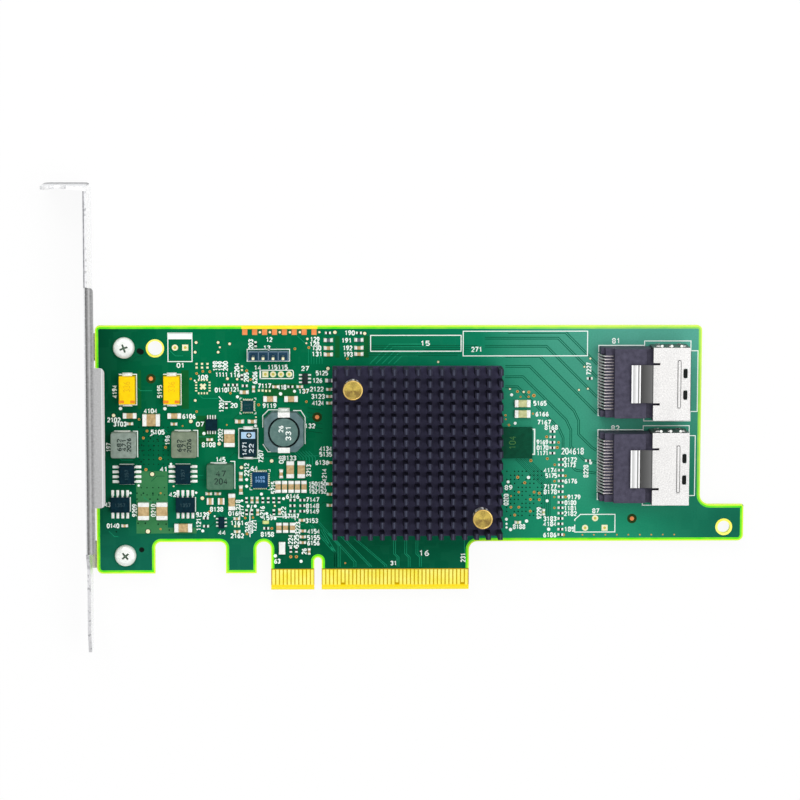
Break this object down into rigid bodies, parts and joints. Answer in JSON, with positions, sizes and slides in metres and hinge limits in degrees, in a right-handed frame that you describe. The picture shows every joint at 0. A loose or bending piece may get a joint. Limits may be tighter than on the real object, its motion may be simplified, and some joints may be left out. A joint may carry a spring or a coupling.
{
  "type": "raid controller card",
  "caption": "Low-profile expansion card with an edge connector, pin-fin heat sink, two drive cable sockets at the far end and a full-height mounting bracket.",
  "frame": {"origin": "on the component face of the board, where the centre line of the key notch meets the edge of the gold contacts", "axes": "+X from the bracket to the far end, +Y from the gold contacts to the top edge, +Z out of the component face"},
  "size_m": [0.1803, 0.12, 0.0188],
  "materials": {
    "screw_steel": "nickel plated",
    "solder_mask": "satin green lacquer",
    "black_epoxy": "moulded",
    "chip_substrate": "laminate",
    "lid_metal": "nickel plated",
    "tin": "tinned",
    "ferrite_core": "matte ferrite",
    "ferrite": "matte ferrite",
    "gold": "gold plated",
    "ceramic_white": "fired ceramic",
    "header_black": "moulded",
    "sink_black": "black anodised",
    "ceramic_tan": "fired ceramic",
    "bracket_steel": "zinc plated sheet",
    "inductor_grey": "pressed iron powder",
    "spring_steel": "drawn wire",
    "pin_brass": "turned brass",
    "housing_slate": "moulded",
    "shell_steel": "tinned steel sheet",
    "lamp_resin": "clear resin",
    "yellow_epoxy": "moulded",
    "thermal_pad": "soft grey",
    "copper": "bare copper"
  },
  "bodies": {
    "root": {"bracket_screws": "screw_steel", "circuit_board": "solder_mask", "clock_chip": "black_epoxy", "controller_chip": "chip_substrate", "controller_lid": "lid_metal", "driver_chip": "black_epoxy", "drum_inductor_clips": "tin", "drum_inductor_core": "ferrite_core", "drum_inductor_shield": "ferrite", "edge_contacts_front": "gold", "edge_contacts_rear": "gold", "fuse": "ceramic_white", "fuse_ends": "tin", "header_base": "header_black", "header_pins": "gold", "heat_sink": "sink_black", "inductor_clips": "tin", "large_capacitor_ends": "tin", "large_capacitors": "ceramic_tan", "logic_chip": "black_epoxy", "memory_chip": "black_epoxy", "mounting_bracket": "bracket_steel", "power_inductor_left": "inductor_grey", "power_inductor_middle": "inductor_grey", "power_inductor_right": "inductor_grey", "power_transistor_a": "black_epoxy", "power_transistor_b": "black_epoxy", "power_transistor_c": "black_epoxy", "power_transistor_d": "black_epoxy", "push_pin_springs": "spring_steel", "push_pins": "pin_brass", "regulator_chip": "black_epoxy", "sas_socket_lower_contacts": "tin", "sas_socket_lower_housing": "housing_slate", "sas_socket_lower_shell": "shell_steel", "sas_socket_upper_contacts": "tin", "sas_socket_upper_housing": "housing_slate", "sas_socket_upper_shell": "shell_steel", "small_capacitor_ends": "tin", "small_capacitors": "ceramic_tan", "small_chip_leads": "tin", "status_lamp": "lamp_resin", "tantalum_capacitor_left": "yellow_epoxy", "tantalum_capacitor_middle": "yellow_epoxy", "tantalum_capacitor_right": "black_epoxy", "tantalum_clips": "tin", "thermal_pad": "thermal_pad", "top_edge_pads": "copper", "transistor_leads": "tin"}
  },
  "joints": []
}
